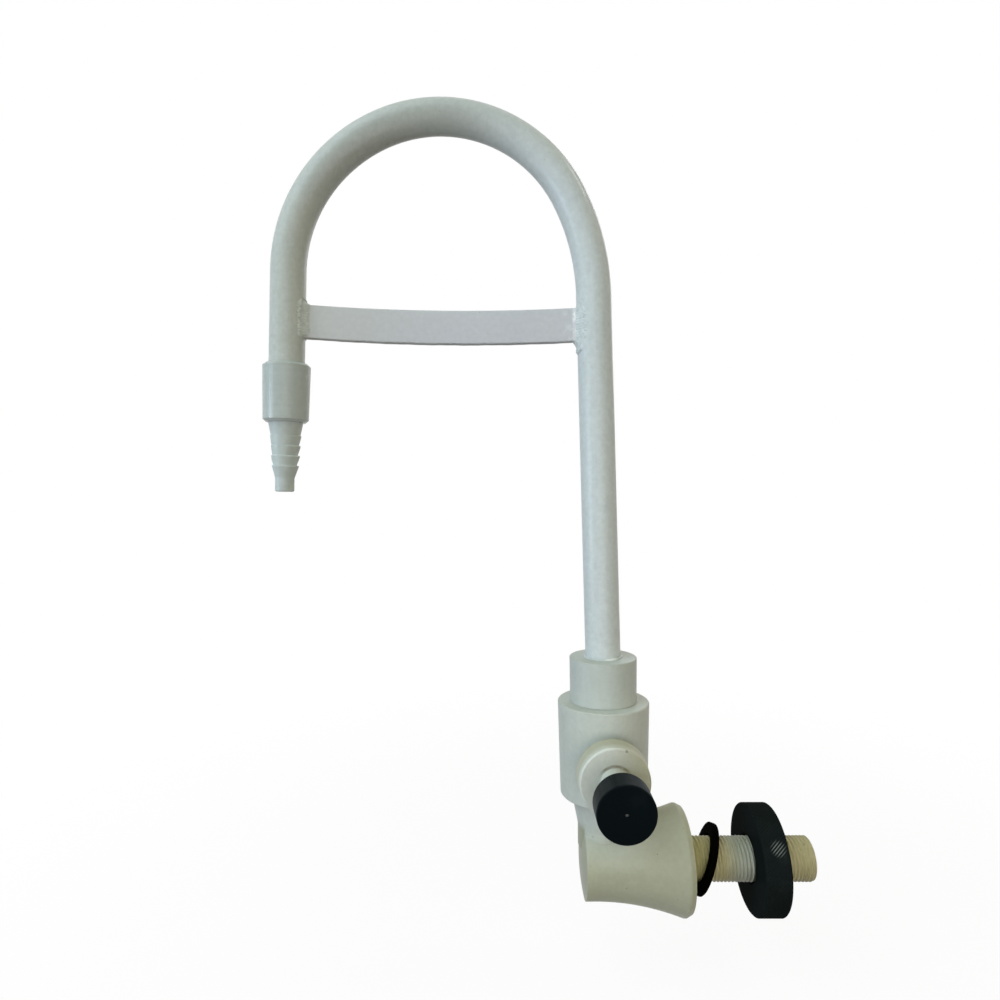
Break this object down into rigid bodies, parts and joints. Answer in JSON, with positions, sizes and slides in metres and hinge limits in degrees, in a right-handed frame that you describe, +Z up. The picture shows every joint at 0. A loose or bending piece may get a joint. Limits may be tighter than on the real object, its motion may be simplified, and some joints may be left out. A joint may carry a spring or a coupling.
{
  "type": "laboratory gooseneck tap",
  "caption": "Wall-mounted laboratory tap with a knob valve, a swivelling braced gooseneck spout, a barbed hose nozzle and a threaded shank with washer and back nut.",
  "frame": {"origin": "on the inlet shank's axis, in the plane of the wall face", "axes": "+X along the shank into the wall, +Z up along the column, -Y the side the knob faces"},
  "size_m": [0.2719, 0.094, 0.4066],
  "materials": {
    "natural_plastic": "satin, slightly translucent natural polypropylene",
    "yellowed_plastic": "satin, yellowed polypropylene",
    "white_plastic": "satin",
    "black_plastic": "satin",
    "black_rubber": "matt"
  },
  "bodies": {
    "tap_body": {"wall_body": "natural_plastic", "inlet_shank": "yellowed_plastic", "riser_nipple": "white_plastic", "riser_o_ring": "black_rubber", "valve_body": "natural_plastic", "valve_seat": "white_plastic", "bonnet": "natural_plastic", "bonnet_gasket": "black_rubber", "swivel_clip": "white_plastic"},
    "spout": {"spout_socket": "natural_plastic", "swivel_o_rings": "black_rubber", "spout_pipe": "natural_plastic", "brace_strap": "natural_plastic", "weld_beads": "white_plastic", "nozzle_socket": "natural_plastic", "hose_nozzle": "natural_plastic", "nozzle_seal": "black_rubber"},
    "valve_plug": {"jumper": "white_plastic", "jumper_washer": "black_rubber", "jumper_nut": "white_plastic"},
    "handle": {"spindle": "white_plastic", "spindle_o_rings": "black_rubber", "knob": "black_plastic"},
    "nut": {"back_nut": "black_plastic"},
    "washer": {"shank_washer": "black_rubber"}
  },
  "joints": [
    {"name": "spout_swivel", "type": "hinge", "parent": "tap_body", "child": "spout", "pos_m": [-0.04, 0, 0.08], "axis": [0, 0, 1], "continuous": true},
    {"name": "plug_lift", "type": "slide", "parent": "tap_body", "child": "valve_plug", "axis": [0, -1, 0], "range_m": [0, 0.004]},
    {"name": "handle_turn", "type": "hinge", "parent": "valve_plug", "child": "handle", "pos_m": [-0.04, -0.06, 0.0547], "axis": [0, -1, 0], "range_deg": [0, 720]},
    {"name": "nut_travel", "type": "slide", "parent": "tap_body", "child": "nut", "axis": [1, 0, 0], "range_m": [-0.0075, 0.0175]},
    {"name": "washer_slide", "type": "slide", "parent": "tap_body", "child": "washer", "axis": [1, 0, 0], "range_m": [-0.003, 0.006]}
  ],
  "couplings": [
    {"joint": "handle_turn", "follows": "plug_lift", "rad_per_m": 3141.6}
  ]
}
